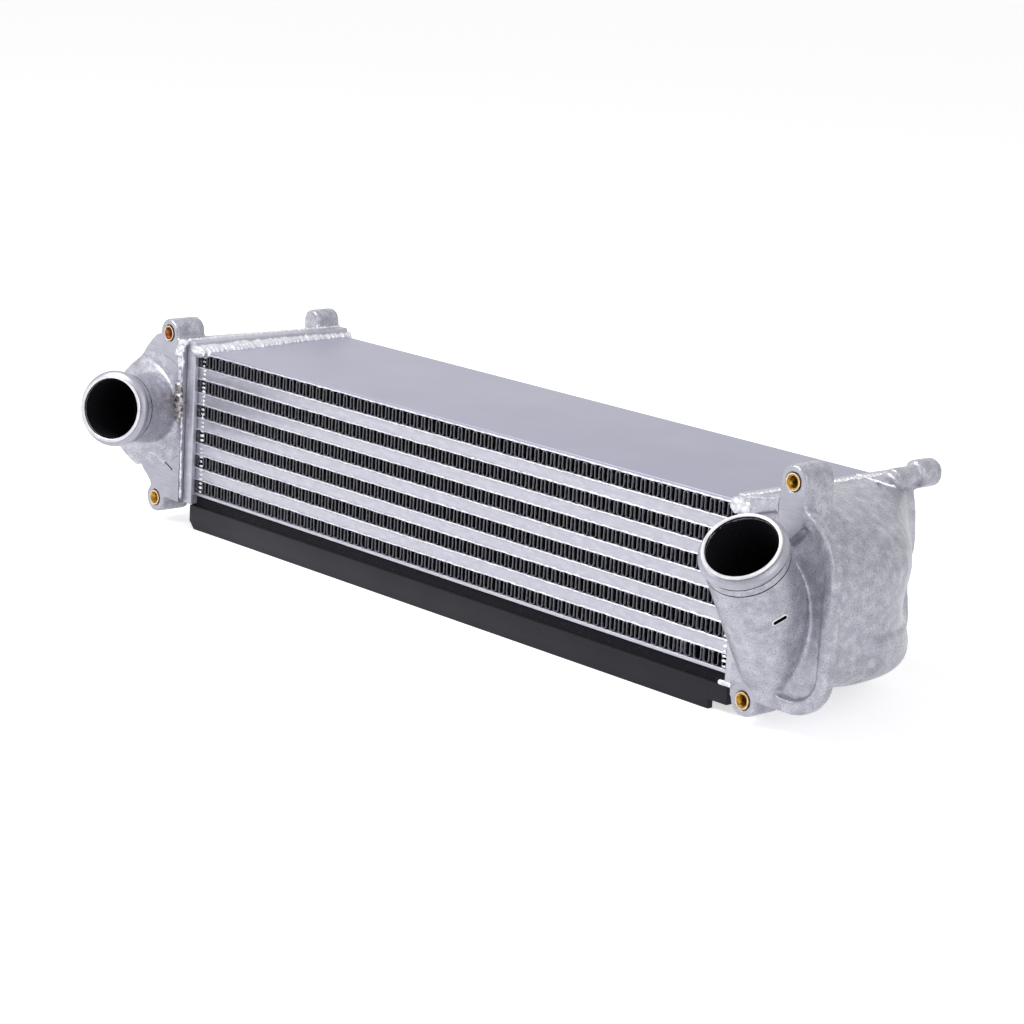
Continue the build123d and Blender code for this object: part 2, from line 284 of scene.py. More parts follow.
def plainFinish(look):
    material, tree, shader, coords = startMaterial(look["name"], look["shader"])
    along = coords
    if "stretch" in look:
        along = addNode(tree, "Mapping", look["stretch"], {"Vector": coords}).outputs["Vector"]
    grain = tone = grainAt(tree, along, *look["grain"])
    if "haze" in look:
        size, detail, share = look["haze"]
        tone = mixOf(tree, share, grainAt(tree, coords, size, detail), grain)
    linkAll(tree, shader, {"Base Color": coloursAlong(tree, tone, look["stops"])})
    if "relief" in look:
        linkAll(tree, shader, {"Normal": reliefOf(tree, grain, *look["relief"])})
    return material


fins = {"pitch": 6.8, "gauge": 0.2, "crownShare": 0.44, "bendSteps": 6, "frontCuts": (0.7, 2.2, 5.0),
        "sway": 0.22, "edgeSway": 0.5, "swayLength": 9, "swayDepth": 12, "rowShift": 7.3,
        "edge": 5, "heldShare": 0.15, "curlRow": 6, "curlFrom": 208, "curl": 2.0,
        "black": "#131318", "sheen": "#202026", "bareAndLit": "#A0A0A9", "bareAndLitDepth": 0.85, "rightLitReach": 1.6,
        "crown": 1.5, "crownFade": 0.5, "crownHighlight": "#E2E2E8", "crownHighlightSpan": (60, 240)}
finLow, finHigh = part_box("external_fin_1")
rowPitch = abs(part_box("external_fin_2")[0].z - finLow.z)


def coatedFin():
    # Thin aluminium strip with a black coating, bare along the edges where it was cut; that band also holds
    # painted light on the first millimetre of each wall and widens to the right as painted light, and the
    # crowns carry a painted highlight, brightest towards the right
    material, tree, shader, coords = startMaterial("coatedFin", {"Metallic": 0.35, "Roughness": 0.45})
    axes = addNode(tree, "SeparateXYZ", links={"Vector": coords})
    along, depth, height = (axes.outputs[axis] for axis in "XYZ")
    wear = grainAt(tree, coords, 2.2, 2)
    coat = coloursAlong(tree, grainAt(tree, coords, 5, 1), [(0.35, fins["black"]), (0.7, fins["sheen"])])
    # painted light: the edge band reaches deeper towards the right, where the edges look lit
    litToRight = addNode(tree, "MapRange", {1: coreMiddle, 2: coreMiddle + coreHalf * mm,
                                      3: 1, 4: fins["rightLitReach"]}, {0: along})
    fromMiddle = addNode(tree, "Math", {"operation": "SUBTRACT", 1: (coreFront + coreBack) / 2}, {0: depth})
    outward = addNode(tree, "Math", {"operation": "ABSOLUTE"}, {0: fromMiddle.outputs[0]})
    reach = addNode(tree, "MapRange", {1: 0.3, 2: 0.7, 3: fins["bareAndLitDepth"] * 0.7 * mm,
                                       4: fins["bareAndLitDepth"] * 1.3 * mm}, {0: wear})
    reach = addNode(tree, "Math", {"operation": "MULTIPLY"}, {0: reach.outputs[0], 1: litToRight.outputs[0]})
    limit = addNode(tree, "Math", {"operation": "SUBTRACT", 0: (coreBack - coreFront) / 2},
                    {1: reach.outputs[0]})
    # the band along the front and back edges: bare cut metal, and painted light on the first millimetre of
    # the walls
    bareAndLit = addNode(tree, "Math", {"operation": "GREATER_THAN"}, {0: outward.outputs[0], 1: limit.outputs[0]})
    fromFoot = addNode(tree, "Math", {"operation": "SUBTRACT", 1: finLow.z}, {0: height})
    inRow = addNode(tree, "Math", {"operation": "FLOORED_MODULO", 1: rowPitch}, {0: fromFoot.outputs[0]})
    # painted highlight: the top of each crown is lightened, more towards the right
    crownFoot = finHigh.z - finLow.z - fins["crown"] * mm
    onCrown = addNode(tree, "MapRange", {1: crownFoot, 2: crownFoot + fins["crownFade"] * mm},
                      {0: inRow.outputs[0]})
    left, right = (place(x, 0, 0).x for x in fins["crownHighlightSpan"])
    highlightToRight = addNode(tree, "MapRange", {1: left, 2: right, 3: 0.1, 4: 1}, {0: along})
    crownHighlightMask = addNode(tree, "Math", {"operation": "MULTIPLY"}, {0: onCrown.outputs[0], 1: highlightToRight.outputs[0]})
    litEdgeColour = addNode(tree, "Mix", {"data_type": "RGBA", 6: linearColour(fins["bareAndLit"]),
                                  7: linearColour(fins["crownHighlight"])}, {0: crownHighlightMask.outputs[0]})
    colour = addNode(tree, "Mix", {"data_type": "RGBA"},
                     {0: bareAndLit.outputs[0], 6: coat, 7: litEdgeColour.outputs[2]})
    linkAll(tree, shader, {"Base Color": colour.outputs[2]})
    return material


finish = {key: plainFinish(look) for key, look in looks.items()}
finish |= {"cast": castAluminium(), "fin": coatedFin()}
print("materials made:", len(finish))


# Cooling air fins: one rounded fold is modelled, divided and arrayed into a row, and the row is copied

def oneFold(low, high):
    crown = fins["pitch"] / 2 * fins["crownShare"] * mm
    trough = fins["pitch"] / 2 * mm - crown
    half = fins["gauge"] / 2 * mm
    bottom, top = low.z + half + trough, high.z - half - crown
    clearSelection()
    middle = Vector((low.x + trough, (low.y + high.y) / 2, (bottom + top) / 2))
    bpy.ops.mesh.primitive_plane_add(size=1, location=middle, rotation=(0, math.pi / 2, 0))
    fold = bpy.context.object
    fold.scale = (top - bottom, high.y - low.y, 1)
    settle(fold)
    wallX = low.x + trough
    bend = {"steps": fins["bendSteps"], "axis": (0, 1, 0)}
    selectWhere(fold, "EDGE", lambda spot, edge: spot.z > top - touching)
    bpy.ops.mesh.spin(angle=-math.pi, center=(wallX + crown, middle.y, top), **bend)
    selectWhere(fold, "EDGE", lambda spot, edge: spot.x > wallX + 2 * crown - touching)
    bpy.ops.mesh.extrude_region_move(TRANSFORM_OT_translate={"value": (0, 0, bottom - top)})
    selectWhere(fold, "EDGE", lambda spot, edge: spot.x > wallX + crown and spot.z < bottom + touching)
    bpy.ops.mesh.spin(angle=math.pi, center=(wallX + 2 * crown + trough, middle.y, bottom), **bend)
    endEdit()
    return fold


def cutAcross(piece, places):
    for y in places:
        editAll(piece)
        bpy.ops.mesh.bisect(plane_co=(0, y, 0), plane_no=(0, 1, 0))
        endEdit()


def evenRow(low, high):  # the row as it comes off the folding machine
    row = oneFold(low, high)
    cutAcross(row, [low.y + cut * mm for cut in fins["frontCuts"]])
    cutAcross(row, [high.y - cut * mm for cut in fins["frontCuts"]])
    count = round((high.x - low.x) / (fins["pitch"] * mm))
    useModifier(row, "ARRAY", count=count, use_relative_offset=False, use_constant_offset=True,
                constant_offset_displace=((high.x - low.x) / count, 0, 0), use_merge_vertices=True,
                merge_threshold=0.02 * mm)
    return row


def finishRow(fin, number):  # a little out of line, as brazed, and then given its gauge
    low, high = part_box(f"external_fin_{number}")
    middleZ, halfHeight = (low.z + high.z) / 2, (high.z - low.z) / 2
    curlStart = place(fins["curlFrom"], 0, 0).x
    for vertex in fin.data.vertices:
        point = vertex.co
        fromEdge = min(point.y - low.y, high.y - point.y) / mm
        nearEdge = max(0, 1 - fromEdge / fins["edge"])
        free = 1 - ((point.z - middleZ) / halfHeight) ** 2  # least at the crowns, which are brazed down
        amount = (fins["sway"] + fins["edgeSway"] * nearEdge) * max(free, fins["heldShare"])
        if number == fins["curlRow"]:  # the last folds of the lowest row were knocked in handling
            amount += fins["curl"] * nearEdge * (point.x > curlStart)
        wander = noise.noise_vector(Vector((point.x / fins["swayLength"] / mm * 2,
                                            point.y / mm / fins["swayDepth"], number * fins["rowShift"])))
        point.x += wander.x * amount * mm
    useModifier(fin, "SOLIDIFY", thickness=fins["gauge"] * mm, offset=0)
    smoothByAngle(fin, 40)
    finishPiece(fin, finish["fin"], "cooling_fin", f"external_fin_{number}")


firstRow = evenRow(finLow, finHigh)
for number in range(1, 7):
    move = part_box(f"external_fin_{number}")[0] - finLow
    finishRow(copyTo(firstRow, f"cooling_fin_row_{number}", move), number)
bpy.data.objects.remove(firstRow)
print("fins made")


# Plates, sheets, bars, headers and seal: copies of the CAD nodes with worked edges

edges = {"plate": 0.5, "bar": 0.45, "sheet": 0.2, "header": 1.1, "seal": 1.2, "segments": 3,
         "sealFold": 7.5, "sealWall": 1.4, "sealStep": 0.2}


def softEdges(node, name, width, material, slot):
    piece = copyNode(node, name)
    editAll(piece)
    bpy.ops.mesh.dissolve_limited(angle_limit=math.radians(1))
    endEdit()
    useModifier(piece, "BEVEL", width=width * mm, segments=edges["segments"], limit_method="ANGLE",
                angle_limit=math.radians(30), harden_normals=False)
    smoothByAngle(piece, 40)
    return finishPiece(piece, material, slot, node)


softEdges("top_plate", "top_sheet", edges["plate"], finish["sheet"], "core_plate")
softEdges("bottom_plate", "bottom_sheet", edges["plate"], finish["bar"], "core_plate")
for k in range(1, 6):
    softEdges(f"front_bar_{k}", f"front_bar_{k}_drawn", edges["bar"], finish["bar"], "core_bar")
    softEdges(f"rear_bar_{k}", f"rear_bar_{k}_drawn", edges["bar"], finish["bar"], "core_bar")
for side in ("left", "right"):
    for k in range(1, 7):
        node = f"{side}_end_bar_{k}"
        # painted shade: the end bars take the dark finish, with real specks of braze
        softEdges(node, f"{node}_drawn", edges["bar"], finish["shadeAndBraze"], "core_bar")
    softEdges(f"{side}_header", f"{side}_header_frame", edges["header"], finish["bar"], "header")
seal = softEdges("base_seal", "seal_strip", edges["seal"], finish["rubber"], "seal")
seal.data.materials.append(finish["pipe"])
sealLow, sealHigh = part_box("base_seal")
foldZ = sealHigh.z - edges["sealFold"] * mm
for face in seal.data.polygons:  # painted shade: the fold's inner faces, which lie in shadow, take the near-black finish
    inside = min(face.center.y - sealLow.y, sealHigh.y - face.center.y)
    if face.center.z > foldZ + edges["sealStep"] * mm and inside > edges["sealWall"] * mm:
        face.material_index = 1


# Braze that ran out along the sheets' edges: one even bead is modelled, and each sheet gets two copies

beads = {"radius": 0.55, "sides": 8, "step": 1.6, "waver": 0.3, "waverLength": 5, "swell": 0.45,
         "swellLength": 2.2, "proud": 0.05, "plateGap": 0.1}


def evenBead():  # along the X axis, from end to end of the core
    clearSelection()
    bpy.ops.mesh.primitive_circle_add(vertices=beads["sides"], radius=beads["radius"] * mm,
                                      fill_type="NOTHING", location=(plateLow.x, 0, 0),
                                      rotation=(0, math.pi / 2, 0))
    bead = bpy.context.object
    settle(bead)
    editAll(bead, "EDGE")
    bpy.ops.mesh.extrude_region_move(TRANSFORM_OT_translate={"value": (beads["step"] * mm, 0, 0)})
    endEdit()
    length = plateHigh.x - plateLow.x
    count = round(length / (beads["step"] * mm))
    useModifier(bead, "ARRAY", count=count, use_relative_offset=False, use_constant_offset=True,
                constant_offset_displace=(length / count, 0, 0), use_merge_vertices=True,
                merge_threshold=0.1 * mm)
    editAll(bead, "EDGE")
    bpy.ops.mesh.select_all(action="DESELECT")
    bpy.ops.mesh.select_non_manifold()
    bpy.ops.mesh.fill_holes(sides=0)
    bpy.ops.mesh.select_all(action="SELECT")
    bpy.ops.mesh.normals_make_consistent(inside=False)
    endEdit()
    return bead


firstBead = evenBead()


def brazeBead(name, y, z, seed):  # swollen and wavering; the seed takes each to its own part of the noise
    bead = copyTo(firstBead, name, (0, y, z))
    for vertex in bead.data.vertices:
        point = vertex.co
        wave = noise.noise_vector(Vector((point.x / (beads["waverLength"] * mm), seed * 3.1, 0)))
        ripple = noise.noise(Vector((point.x / (beads["swellLength"] * mm), seed * 5.7, 9)))
        middle = Vector((point.x, y, z))
        swollen = (point - middle) * (1 + beads["swell"] * ripple)
        vertex.co = middle + swollen + Vector((0, 0, wave.z)) * beads["waver"] * mm
    return bead


frontY, backY = coreFront - beads["proud"] * mm, coreBack + beads["proud"] * mm
plateBead = plateLow.z + (beads["radius"] + beads["plateGap"]) * mm
for y, seed in ((frontY, 41), (backY, 42)):
    bead = brazeBead(f"top_sheet_braze_{seed}", y, plateBead, seed)
    smoothByAngle(bead, 60)
    finishPiece(bead, finish["braze"], "core_plate")
for k in range(1, 11):
    node = f"parting_sheet_{k}"
    low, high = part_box(node)
    sheet = softEdges(node, f"brazed_sheet_{k}", edges["sheet"], finish["braze"], "parting_sheet")
    middle = (low.z + high.z) / 2
    joinPieces([sheet, brazeBead("bead", frontY, middle, k), brazeBead("bead", backY, middle, k + 20)],
               sheet.name)
    smoothByAngle(sheet, 60)
    sheet.data.materials.clear()
    sheet.data.materials.append(finish["braze"])
bpy.data.objects.remove(firstBead)
for k in range(1, 6):  # the inner fins stay as they are, out of sight
    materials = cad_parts[f"turbulator_{k}"].data.materials
    materials.clear()
    materials.append(finish["bar"])
print("core made")


# Tanks: the casting is remeshed so that its corners round off, then faced, bored and spot-faced

tank = {"voxel": 1.2, "smoothing": 5, "skim": 0.3, "cutDepth": 5, "chamfer": 0.7, "rimDepth": 1.6,
        "facingRadius": 34, "facingDepth": 6, "throat": 62, "bead": 24.9, "beadRoom": 8,
        "domeClear": 38, "domeDepth": 120, "grooves": (8.2, 13.5), "grooveWidth": 0.45, "grooveOut": 0.35,
        "headerFace": 255, "headerCut": ((240, -20, 0), (255, 140, 160)), "stretch": 3.4,
        "rimWall": 1.1, "sleeve": (36, 56), "sleeveUnder": 0.05,
        "padLine": ((277, 97.5, 70), (262, 120, 70)), "padThick": 3, "padInward": 0.45, "padHeight": 56,
        "webFace": ((-335, -5), (-256, 150)), "lugFace": ((279.9, 109), (298.1, 154)),
        "hollow": ((275, 30, 72), (262, 50, 72), (262, 100, 72), (272, 12, 95), (268, 40, 40))}
pipes = {"left": {"mouth": (-261.4, -60, 85.3), "turn": 24.1, "rise": 8.7, "bore": 19.8, "neck": 23.2},
         "right": {"mouth": (293.8, -50, 113.7), "turn": 17.5, "rise": 49.4, "bore": 20.0, "neck": 23.38,
                   "taper": 0.0223}}
bosses = {"left_upper": (-270.6, 130.0), "left_lower": (-281.2, 15.8), "right_upper": (289.0, 142.4),
          "right_lower": (264.6, 14.5)}  # X and Z of each
boss = {"hole": 5.0, "holeStart": 6, "holeDepth": 21, "spotFace": 10.4}
webFront = -8


def outward(pipe):  # the direction that a pipe's mouth faces
    turn, rise = math.radians(pipe["turn"]), math.radians(pipe["rise"])
    return Vector((math.sin(turn) * math.cos(rise), -math.cos(turn) * math.cos(rise), math.sin(rise)))


def rod(name, start, way, radius, length, material, sides=64):  # a cutter that runs from start along way
    clearSelection()
    turned = way.to_track_quat("Z", "Y").to_euler()
    bpy.ops.mesh.primitive_cylinder_add(vertices=sides, radius=radius * mm, depth=length * mm,
                                        location=start + way * length / 2 * mm, rotation=turned)
    cutter = bpy.context.object
    cutter.name = name
    cutter.data.materials.append(material)
    return cutter


def slab(name, low, high, material):  # a box cutter between two corners, in the core's millimetres
    clearSelection()
    low, high = place(*low), place(*high)
    bpy.ops.mesh.primitive_cube_add(size=1, location=(low + high) / 2, scale=high - low)
    cutter = bpy.context.object
    cutter.name = name
    cutter.data.materials.append(material)
    settle(cutter)
    return cutter


def cutWith(piece, *cutters):  # the cut faces keep the cutters' finish; cutters of one call never overlap
    tool = joinPieces(list(cutters), "cutter")
    useModifier(piece, "BOOLEAN", operation="DIFFERENCE", solver="EXACT", object=tool,
                material_mode="TRANSFER")
    bpy.data.objects.remove(tool)


def pipeTool(side):  # faces the mouth, chamfers it and bores right through, all turned in one clamping
    pipe = pipes[side]
    way = outward(pipe)
    start = place(*pipe["mouth"]) - way * tank["skim"] * mm
    tool = rod("pipeTool", start, way, tank["facingRadius"], tank["facingDepth"], finish["ring"], sides=96)
    tool.data.materials.append(finish["pipe"])
    bore = pipe["bore"]
    settle(tool)
    selectWhere(tool, "FACE", lambda middle, face: face.normal.dot(way) < -0.99)
    bpy.ops.mesh.inset(thickness=(tank["facingRadius"] - bore - tank["chamfer"]) * mm)
    shrink = bore / (bore + tank["chamfer"])
    for step in ("chamfer", "rimDepth", "throat"):
        bpy.ops.mesh.extrude_region_move(TRANSFORM_OT_translate={"value": -way * tank[step] * mm})
        if step == "chamfer":
            bpy.ops.transform.resize(value=(shrink, shrink, shrink),
                                     center_override=start - way * tank["chamfer"] * mm)
    endEdit()
    rimEnd = tank["chamfer"] + tank["rimDepth"]
    for face in tool.data.polygons:  # past the rim the bore is dark
        if (start - face.center).dot(way) > (rimEnd + 1) * mm:
            face.material_index = 1
    return tool


# Turned as on a lathe: the profile is a closed outline of (radius, depth) steps, and depth is measured from
# the mouth against the way it faces
def turnedPiece(name, profile, sides, mouth, way):
    clearSelection()
    radius, depth = profile[0]
    bpy.ops.mesh.primitive_circle_add(vertices=sides, radius=radius * mm, fill_type="NOTHING",
                                      location=(0, 0, -depth * mm))
    piece = bpy.context.object
    piece.name = name
    settle(piece)
    editAll(piece, "EDGE")
    for nextRadius, nextDepth in profile[1:] + profile[:1]:
        bpy.ops.mesh.extrude_region_move(TRANSFORM_OT_translate={"value": (0, 0, (depth - nextDepth) * mm)})
        share = nextRadius / radius
        bpy.ops.transform.resize(value=(share, share, 1), center_override=(0, 0, -nextDepth * mm))
        radius, depth = nextRadius, nextDepth
    bpy.ops.mesh.select_all(action="SELECT")
    bpy.ops.mesh.remove_doubles(threshold=0.01 * mm)
    bpy.ops.mesh.normals_make_consistent(inside=False)
    endEdit()
    piece.matrix_world = Matrix.Translation(mouth) @ way.to_track_quat("Z", "Y").to_matrix().to_4x4()
    settle(piece)
    return piece


def mouthBead(side):  # a thin faced rim, a turned groove behind it and the bead that holds the hose
    pipe = pipes[side]
    bore, bead, neck = pipe["bore"], tank["bead"], pipe["neck"]
    rim = [(bore + 0.02, 4), (bore + 0.02, 0.5), (bore + 0.3, 0.12), (bore + 0.7, 0), (bore + 1.8, 0),
           (bore + 2.15, 0.3), (bore + 2.15, 1.1)]
    groove = [(bore + 1.4, 1.3), (bore + 1.4, 1.8), (bore + 2.4, 2.1)]
    bulge = [(bead - 1.5, 2.9), (bead - 0.5, 3.8), (bead - 0.1, 4.7), (bead, 5.4), (bead - 0.15, 6.2),
             (bead - 0.8, 6.9)]
    foot = [(neck + 0.1, 7.3), (neck + 0.05, 8.2), (bore + 0.6, 8.2), (bore + 0.6, 4)]
    mouth, way = place(*pipe["mouth"]), outward(pipe)
    piece = turnedPiece("mouthBead", rim + groove + bulge + foot, 128, mouth, way)
    for kind in ("ring", "pipe", "machined"):
        piece.data.materials.append(finish[kind])
    for face in piece.data.polygons:
        offset = face.center - mouth
        depth = -offset.dot(way)
        radius = (offset + depth * way).length / mm
        # painted shade: the groove's floor takes the near-black finish, as does the bore's wall
        inGroove = radius < bore + 1.6 and 1 < depth / mm < 2
        if radius < bore + 0.1 or inGroove:
            face.material_index = 1
        elif depth > 1.2 * mm:  # behind the rim
            face.material_index = 2
    return piece


def beadRoom(side):  # clears the casting outside the rim, where the turned bead goes
    pipe = pipes[side]
    inner, outer, depth = pipe["bore"] + tank["rimWall"], tank["facingRadius"], tank["beadRoom"]
    profile = [(inner, -1), (outer, -1), (outer, depth), (inner, depth)]
    room = turnedPiece("beadRoom", profile, 96, place(*pipe["mouth"]), outward(pipe))
    room.data.materials.append(finish["machined"])
    return room


def neckGroove(side, depth):  # a fine turned line round the neck, its faces near black as painted shade
    pipe = pipes[side]
    way = outward(pipe)
    clearSelection()
    bpy.ops.mesh.primitive_torus_add(location=place(*pipe["mouth"]) - way * depth * mm,
                                     rotation=way.to_track_quat("Z", "Y").to_euler(),
                                     major_radius=(pipe["neck"] + tank["grooveOut"]) * mm,
                                     minor_radius=tank["grooveWidth"] * mm,
                                     major_segments=96, minor_segments=8)
    groove = bpy.context.object
    groove.data.materials.append(finish["pipe"])
    settle(groove)
    return groove


def bushHole(name):
    x, z = bosses[name]
    start = place(x, webFront - boss["holeStart"], z)
    return rod("bushHole", start, Vector((0, 1, 0)), boss["hole"], boss["holeDepth"], finish["machined"], 48)


def spotFace(name):
    x, z = bosses[name]
    start = place(x, webFront + tank["skim"], z)
    return rod("spotFace", start, Vector((0, -1, 0)), boss["spotFace"], tank["cutDepth"], finish["machined"])


def pipeSleeve():  # closes the source's own slot, which sits too far round the right pipe
    pipe, (start, end) = pipes["right"], tank["sleeve"]
    way = outward(pipe)
    radii = [(pipe["neck"] + depth * pipe["taper"] - tank["sleeveUnder"]) * mm for depth in (start, end)]
    clearSelection()
    bpy.ops.mesh.primitive_cone_add(vertices=128, radius1=radii[1], radius2=radii[0],
                                    depth=(end - start) * mm,
                                    location=place(*pipe["mouth"]) - way * (start + end) / 2 * mm,
                                    rotation=way.to_track_quat("Z", "Y").to_euler())
    sleeve = bpy.context.object
    settle(sleeve)
    return sleeve


def wallPad():  # backs a thin stretch of the right tank's rear wall, on its hollow side
    start, end = (place(*spot) for spot in tank["padLine"])
    along = end - start
    inward = Vector((-along.y, along.x, 0)).normalized()
    middle = (start + end) / 2 + inward * tank["padThick"] * tank["padInward"] * mm
    clearSelection()
    bpy.ops.mesh.primitive_cube_add(size=1, location=middle, rotation=(0, 0, math.atan2(along.y, along.x)),
                                    scale=(along.length, tank["padThick"] * mm, tank["padHeight"] * mm))
    pad = bpy.context.object
    settle(pad)
    return pad


def castingFrom(side, name, *additions):  # side is -1 on the left and 1 on the right
    piece = copyNode("left_tank" if side < 0 else "right_tank", name)
    if additions:
        joinPieces([piece, *additions], name)
    face = place(side * tank["headerFace"], 0, 0).x
    selectWhere(piece, "VERT", lambda spot, vertex: abs(spot.x - face) < 0.01 * mm)
    stretch = -side * tank["stretch"] * mm  # the remesh rounds this face too, and it is cut square again
    bpy.ops.transform.translate(value=(stretch, 0, 0))
    endEdit()
    useModifier(piece, "REMESH", mode="VOXEL", voxel_size=tank["voxel"] * mm)
    useModifier(piece, "SMOOTH", factor=0.5, iterations=tank["smoothing"])
    for kind in ("cast", "machined", "pipe"):
        piece.data.materials.append(finish[kind])
    return piece


def headerFace(side):  # squares the face that meets the header
    (inner, front, bottom), (outer, back, top) = tank["headerCut"]
    left, right = sorted((side * inner, side * outer))
    return slab("headerFace", (left, front, bottom), (right, back, top), finish["machined"])


def skimmedFace(name, corners):  # faces a flat area of the front, between two corners in X and Z
    (left, bottom), (right, top) = corners
    front = webFront + tank["skim"]
    return slab(name, (left, front - tank["cutDepth"], bottom), (right, front, top), finish["machined"])


def darkenInside(piece, side, front):  # what is seen from the hollow, and lies behind front, is left dark
    seeds = [place(side * x, y, z) for x, y, z in tank["hollow"]]
    header = place(tank["headerFace"], 0, 0).x
    for face in piece.data.polygons:
        if abs(face.center.x) < header or face.center.y < coreFront + front * mm:
            continue
        start = face.center + face.normal * 0.2 * mm
        for seed in seeds:
            way = seed - start
            if way.dot(face.normal) <= 0:
                continue
            if not piece.ray_cast(start, way.normalized(), distance=way.length)[0]:
                face.material_index = 2
                break


def sharpenBorders(piece):  # a crisp line wherever one finish meets another
    for index in range(len(piece.data.materials)):
        editAll(piece)
        bpy.ops.mesh.select_all(action="DESELECT")
        piece.active_material_index = index
        bpy.ops.object.material_slot_select()
        bpy.ops.mesh.region_to_loop()
        bpy.ops.mesh.mark_sharp()
        endEdit()


marks = {"slot": {"depth": 39.5, "turnedBy": -25.0, "span": 5.6, "radius": 1.35, "rim": 0.85, "proud": 0.35,
                  "wall": 2.0, "bevel": 0.3, "rimCut": (3, 4), "wallCut": (4, 2.4)},
         "scratch": ((-270.5, -7.9, 42.3), (-262.4, -7.9, 38.4), 0.55)}


def scratchTool():
    start, end, radius = marks["scratch"]
    start, end = place(*start), place(*end)
    length = (end - start).length / mm
    return rod("scratch", start, (end - start).normalized(), radius, length, finish["pipe"], 8)


def alongPipe(side, depth, turnedBy):  # a point on a pipe's wall and the way out of it there
    pipe = pipes[side]
    way = outward(pipe)
    radial = Vector((1, 0, 0)) - way * way.x
    radial.rotate(Matrix.Rotation(math.radians(turnedBy), 3, way))
    radial.normalize()
    radius = pipe["neck"] + depth * pipe["taper"]
    return place(*pipe["mouth"]) - way * depth * mm + radial * radius * mm, radial


def slotTool(radius, outwards, inwards, material):  # a slot that runs round the right pipe
    slot = marks["slot"]
    spot, radial = alongPipe("right", slot["depth"], slot["turnedBy"])
    tool = rod("slot", spot + radial * outwards * mm, -radial, radius, outwards + inwards, material, sides=40)
    settle(tool)
    across = outward(pipes["right"]).cross(radial).normalized()
    for way in (across, -across):  # the two halves of the round end move apart
        selectWhere(tool, "VERT", lambda point, vertex: (point - spot).dot(way) > 0.01 * mm)
        bpy.ops.transform.translate(value=way * slot["span"] / 2 * mm)
        endEdit()
    return tool


def slotRim():
    slot = marks["slot"]
    rim = slotTool(slot["radius"] + slot["rim"], slot["proud"], slot["wall"], finish["ring"])
    useModifier(rim, "BEVEL", width=slot["bevel"] * mm, segments=3, limit_method="ANGLE",
                angle_limit=math.radians(50))
    cutWith(rim, slotTool(slot["radius"], *slot["rimCut"], finish["pipe"]))
    return rim


def mouthCuts(side):
    return [pipeTool(side)] + [neckGroove(side, depth) for depth in tank["grooves"]]


def leftCasting():
    casting = castingFrom(-1, "left_casting")
    web = skimmedFace("webFace", tank["webFace"])
    pipe = pipes["left"]
    cutWith(web, rod("domeRoom", place(*pipe["mouth"]), -outward(pipe), tank["domeClear"], tank["domeDepth"],
                     finish["machined"]))
    cutWith(casting, headerFace(-1))
    cutWith(casting, web)
    cutWith(casting, beadRoom("left"))
    cutWith(casting, *mouthCuts("left"), bushHole("left_upper"), bushHole("left_lower"), scratchTool())
    darkenInside(casting, -1, webFront)
    return casting


def rightCasting():
    casting = castingFrom(1, "right_casting", pipeSleeve(), wallPad())
    cutWith(casting, headerFace(1))
    cutWith(casting, skimmedFace("lugFace", tank["lugFace"]), spotFace("right_lower"))
    cutWith(casting, beadRoom("right"))
    cutWith(casting, *mouthCuts("right"), bushHole("right_upper"), bushHole("right_lower"))
    cutWith(casting, slotTool(marks["slot"]["radius"], *marks["slot"]["wallCut"], finish["pipe"]))
    darkenInside(casting, 1, pipes["right"]["mouth"][1])
    return casting


for side, casting in (("left", leftCasting()), ("right", rightCasting())):
    smoothByAngle(casting, 50)
    sharpenBorders(casting)
    bead = mouthBead(side)
    smoothByAngle(bead, 40)
    parts = [casting, bead]
    if side == "right":
        parts.append(slotRim())
    joinPieces(parts, casting.name)
    finishPiece(casting, None, "cast_tank", f"{side}_tank")
print("tanks made")


# Brass bushes: one is turned and threaded, then copied into each boss

bush = {"outside": 4.95, "bore": 3.4, "threadRoot": 4.0, "pitch": 1.25, "rim": 4.3, "length": 15, "sides": 40,
        "proud": 0.15}


def bushProfile():  # radius and depth, from the front's outer edge round to itself again
    steps = [(bush["outside"], 0), (bush["outside"], bush["length"]), (bush["bore"], bush["length"])]
    for k in range(int(bush["length"] / bush["pitch"]), 0, -1):
        steps += [(bush["threadRoot"], (k - 0.5) * bush["pitch"]), (bush["bore"], (k - 0.75) * bush["pitch"])]
    return steps + [(bush["rim"], 0)]


facingFront = Vector((0, -1, 0))
firstBush = turnedPiece("bush", bushProfile(), bush["sides"], Vector(), facingFront)
for face in firstBush.data.polygons:
    if face.normal.dot(facingFront) > 0.9 and face.center.y < 0.1 * mm:  # the faced end
        face.material_index = 1
smoothByAngle(firstBush, 30)
for name, (x, z) in bosses.items():
    piece = copyTo(firstBush, f"{name}_bush", place(x, webFront - bush["proud"], z))
    piece.data.materials.append(finish["stained" if name == "left_upper" else "brass"])
    piece.data.materials.append(finish["rim"])
    finishPiece(piece, None, "brass_insert", f"{name}_insert")
bpy.data.objects.remove(firstBush)
print("bushes made")


# Welds: flattened blobs laid along each seam, melted together

